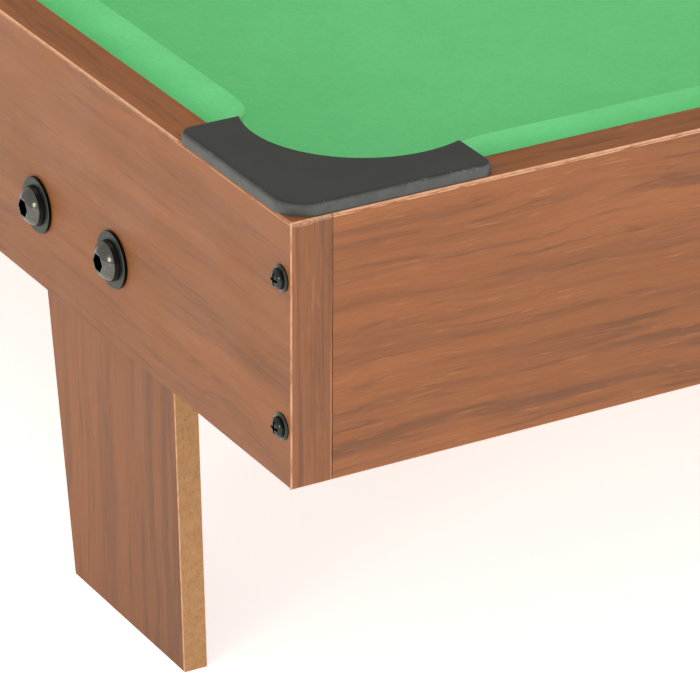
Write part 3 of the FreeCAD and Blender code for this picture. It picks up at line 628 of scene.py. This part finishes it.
def cushion_mesh(length, depth, height, start_kind, finish_kind, seed):
    """Vertices (along, depth, height) and faces of one cushion, closed at both ends."""
    profile = cushion_profile(depth, height)
    middle = profile.mean(0)
    starts = sweep_back(profile[:, 0], depth, start_kind)
    finishes = length - sweep_back(profile[:, 0], depth, finish_kind)
    inward = middle - profile
    inward /= np.linalg.norm(inward, axis=1, keepdims=True)
    rings = cushion_rings(length)
    vertices = []
    for shrink, shift, share in rings:
        section = profile + inward * shrink
        along = starts + (finishes - starts) * share + shift
        near_end = np.clip(1 - np.minimum(along - starts, finishes - along) / DROOP_RUN, 0, 1)
        lean = np.clip(section[:, 0] / depth, 0, 1) * section[:, 1] / height
        dip = END_DROOP * near_end ** 2 * lean
        vertices.extend(np.column_stack([along, section[:, 0], section[:, 1] - dip]))
    puff_out(vertices, middle, seed)
    count = len(profile)
    faces = tube_faces(len(rings), count)
    close_end(vertices, faces, 0, count, -1)
    close_end(vertices, faces, len(rings) - 1, count, 1)
    return vertices, faces


def in_place(local, low, high, along, across, sign):
    """A cushion's vertices, moved from (along, depth, height) to where the cushion lies."""
    back = low[across] if sign > 0 else high[across]
    vertices = []
    for s, d, z in local:
        point = [0, 0, low.z + z]
        point[along] = low[along] + s
        point[across] = back + sign * d
        vertices.append(point)
    return vertices


def build_cushions(material):
    """Six cushions in the places of their CAD covers and cores."""
    places = {corner: (0, 1, -1 if corner.startswith("back") else 1) for corner in CORNERS}
    places["left_end"] = (1, 0, 1)
    places["right_end"] = (1, 0, -1)
    for number, (place, (along, across, sign)) in enumerate(places.items()):
        low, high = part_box("cushion_cover_" + place)
        size = high - low
        kinds = ["short", "short"]
        if along == 0:
            kinds = ["side", "long"] if low.x > 0 else ["long", "side"]
        local, faces = cushion_mesh(size[along], size[across], size.z, *kinds, 10.0 * number)
        vertices = in_place(local, low, high, along, across, sign)
        turned_over = (along == 0) == (sign > 0)
        if turned_over:
            faces = [face[::-1] for face in faces]
        piece = new_piece("cushion_" + place, vertices, faces, material)
        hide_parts("cushion_cover_" + place, "cushion_core_" + place)


POCKETS = CORNERS + ("front_middle", "back_middle")
CLOTH_ROUND = 0.5 * MM                 # rounding of the cloth's cut edges
EDGE_STEPS = (0, CLOTH_ROUND * 0.3, CLOTH_ROUND)
HOLE_RIM = 3 * MM                      # one more ring of points this far out from each hole
CLOTH_GRID = 9 * MM                    # spacing of the points in the open cloth,
GRID_FROM_SIDES = 4 * MM               # and how far they keep from the sides
GRID_FROM_HOLES = 5 * MM               # and from the holes
HOLE_STEPS = 72
POCKET_REACH = 50 * MM                 # a hole's vertices lie within this of its cup's middle
INSIDE = 0.9995                        # share of a hole's radius that counts as inside it


def pocket_holes():
    """Centre and radius of each pocket hole, found from the rings of the cloth's own vertices."""
    points = np.array([v.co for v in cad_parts["bed_cloth"].data.vertices])
    low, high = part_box("bed_cloth")
    edge = 0.01 * MM
    inside = (points[:, 0] > low.x + edge) & (points[:, 0] < high.x - edge)
    inside &= (points[:, 1] > low.y + edge) & (points[:, 1] < high.y - edge)
    points = points[inside][:, :2]
    holes = []
    for pocket in POCKETS:
        cup_low, cup_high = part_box("pocket_cup_" + pocket)
        middle = np.array(((cup_low + cup_high) / 2)[:2])
        near = points[np.linalg.norm(points - middle, axis=1) < POCKET_REACH]
        system = np.column_stack([2 * near, np.ones(len(near))])
        x, y, rest = np.linalg.lstsq(system, (near ** 2).sum(1), rcond=None)[0]
        holes.append((x, y, math.sqrt(rest + x * x + y * y)))
    return holes


def outline_loop(low, high, inset):
    """Points round the cloth's outline, moved in from it by an inset."""
    x0, y0, x1, y1 = low.x + inset, low.y + inset, high.x - inset, high.y - inset
    nx, ny = int((x1 - x0) / CLOTH_GRID), int((y1 - y0) / CLOTH_GRID)
    xs, ys = np.linspace(x0, x1, nx + 1), np.linspace(y0, y1, ny + 1)
    loop = [(x, y0) for x in xs[:-1]] + [(x1, y) for y in ys[:-1]]
    return loop + [(x, y1) for x in xs[:0:-1]] + [(x0, y) for y in ys[:0:-1]]


def hole_loop(x, y, radius):
    angles = np.linspace(0, 2 * math.pi, HOLE_STEPS, endpoint=False)
    return [(x + radius * math.cos(a), y + radius * math.sin(a)) for a in angles]


def grid_points(low, high, holes):
    """Points in the open cloth, clear of its sides and its holes."""
    for x in np.arange(low.x + CLOTH_GRID, high.x - GRID_FROM_SIDES, CLOTH_GRID):
        for y in np.arange(low.y + CLOTH_GRID, high.y - GRID_FROM_SIDES, CLOTH_GRID):
            if all(math.hypot(x - hx, y - hy) > radius + GRID_FROM_HOLES for hx, hy, radius in holes):
                yield Vector((x, y))


def cloth_plan(low, high, holes):
    """The cloth seen from above: its points, and the triangles between them outside the holes."""
    loops = [outline_loop(low, high, inset) for inset in EDGE_STEPS]
    for x, y, radius in holes:
        loops += [hole_loop(x, y, radius + grow) for grow in EDGE_STEPS + (HOLE_RIM,)]
    points, edges = [], []
    for loop in loops:
        first = len(points)
        points.extend(Vector(p) for p in loop)
        edges.extend((first + i, first + (i + 1) % len(loop)) for i in range(len(loop)))
    points.extend(grid_points(low, high, holes))
    plan, _, triangles = delaunay_2d_cdt(points, edges, [], 0, 1e-7)[:3]

    def in_hole(triangle):
        x, y = (sum(plan[i][axis] for i in triangle) / 3 for axis in (0, 1))
        return any(math.hypot(x - hx, y - hy) < radius * INSIDE for hx, hy, radius in holes)

    return plan, [tuple(triangle) for triangle in triangles if not in_hole(triangle)]


def edge_drop(x, y, low, high, holes):
    """How far the rounding of the nearest cut edge lowers the cloth's surface."""
    nearest = min(x - low.x, high.x - x, y - low.y, high.y - y)
    for hx, hy, radius in holes:
        nearest = min(nearest, math.hypot(x - hx, y - hy) - radius)
    rest = max(0.0, 1 - max(nearest, 0) / CLOTH_ROUND)
    return CLOTH_ROUND * (1 - math.sqrt(max(0.0, 1 - rest ** 2)))


def sheet_faces(top, count):
    """Faces of a sheet: its top, its underside, and the walls along its edges."""
    underside = [tuple(i + count for i in face[::-1]) for face in top]
    sides = dict.fromkeys((face[i], face[(i + 1) % 3]) for face in top for i in range(3))
    walls = [(b, a, a + count, b + count) for a, b in sides if (b, a) not in sides]
    return top + underside + walls


def build_bed_cloth(material):
    """Cloth sheet with its holes cut through, its cut edges rounded over."""
    low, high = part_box("bed_cloth")
    holes = pocket_holes()
    plan, triangles = cloth_plan(low, high, holes)
    top = [(x, y, high.z - edge_drop(x, y, low, high, holes)) for x, y in plan]
    bottom = [(x, y, low.z) for x, y in plan]
    faces = sheet_faces(triangles, len(plan))
    piece = new_piece("bed_cloth_sheet", top + bottom, faces, material)
    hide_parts("bed_cloth")


# ---- stage ----
FLOOR_GLOW = 0.65                      # the floor is a lit white table, so shadows on it stay faint
FLOOR_HALF = 6.0
WORLD_LIGHT = 0.75
WHITE = (1.0, 1.0, 1.0)
WARM_WHITE = (1.0, 0.97, 0.84)
# name, place, the point it faces, size, power and colour
SOFTBOXES = (
    ("front_softbox", (1.35, -2.3, 0.75), (0.35, -0.2, 0.12), 0.6, 12, WARM_WHITE),
    ("right_softbox", (2.7, 0.9, 0.9), (0.4, 0.0, 0.12), 1.6, 14, WHITE),
    ("top_softbox", (-0.2, 0.2, 2.4), (0.2, 0.0, 0.1), 1.8, 14, WHITE),
)


def pale_floor():
    floor = bpy.data.objects.new("floor", bpy.data.meshes.new("floor"))
    corners = [(x * FLOOR_HALF, y * FLOOR_HALF, 0) for x, y in ((-1, -1), (1, -1), (1, 1), (-1, 1))]
    floor.data.from_pydata(corners, [], [(0, 1, 2, 3)])
    bpy.context.scene.collection.objects.link(floor)
    white = Paint("floor_white")
    shade = white.fade(white.noise(white.here, 3, 2), 0.3, 0.7, 0.985, 1.0)
    glow = {"Emission_Color": (1, 1, 1, 1), "Emission_Strength": FLOOR_GLOW}
    floor.data.materials.append(white.finish(white.scale_colour((0.9, 0.9, 0.9), shade), 0.9, **glow))


def studio():
    """White surroundings and soft lights."""
    world = bpy.data.worlds.new("studio")
    bpy.context.scene.world = world
    world.use_nodes = True
    background = world.node_tree.nodes["Background"]
    background.inputs["Color"].default_value = (1, 1, 1, 1)
    background.inputs["Strength"].default_value = WORLD_LIGHT
    for settings in SOFTBOXES:
        softbox(*settings)
    bpy.context.scene.view_settings.view_transform = "Standard"


def softbox(name, place, target, size, power, colour):
    light = bpy.data.lights.new(name, "AREA")
    light.shape = "SQUARE"
    light.size = size
    light.energy = power
    light.color = colour
    lamp = bpy.data.objects.new(name, light)
    lamp.location = place
    lamp.rotation_mode = "QUATERNION"
    lamp.rotation_quaternion = (Vector(target) - Vector(place)).to_track_quat("-Z", "Y")
    bpy.context.scene.collection.objects.link(lamp)


CAMERA_FROM_CORNER = Vector((1.0643, -0.5954, 0.5494))
CAMERA_YAW, CAMERA_PITCH, CAMERA_ROLL = 29.98, 25.71, 0.244
CAMERA_LENS = 255.3
SENSOR_WIDTH = 36


def corner_camera():
    """Long lens looking down on the front right corner."""
    low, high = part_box("side_panel_front")
    corner = Vector((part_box("edge_bands")[1].x, low.y, high.z))
    yaw, pitch, roll = map(math.radians, (CAMERA_YAW, CAMERA_PITCH, CAMERA_ROLL))
    level = math.cos(pitch)
    forward = Vector((-math.cos(yaw) * level, math.sin(yaw) * level, -math.sin(pitch)))
    right = Vector((math.sin(yaw), math.cos(yaw), 0))
    up = right.cross(forward)
    turned_right = math.cos(roll) * right + math.sin(roll) * up
    turned_up = math.cos(roll) * up - math.sin(roll) * right
    camera = bpy.data.cameras.new("camera")
    camera.lens = CAMERA_LENS
    camera.sensor_width = SENSOR_WIDTH
    camera.clip_start = 0.05
    camera.clip_end = 50
    rig = bpy.data.objects.new("camera", camera)
    turn = Matrix((turned_right, turned_up, -forward)).transposed().to_4x4()
    rig.matrix_world = Matrix.Translation(corner + CAMERA_FROM_CORNER) @ turn
    bpy.context.scene.collection.objects.link(rig)
    bpy.context.scene.camera = rig


paint_frame()
build_bed_cloth(cloth("bed_cloth", tone(94, 185, 113), tone(91, 182, 110)))
cushion_backs = (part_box("cushion_cover_right_end")[1].x, -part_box("cushion_cover_front_left")[0].y)
build_cushions(cloth("cushion_cloth", tone(95, 190, 118), tone(90, 184, 111), cushion_backs))
pale_floor()
studio()
corner_camera()
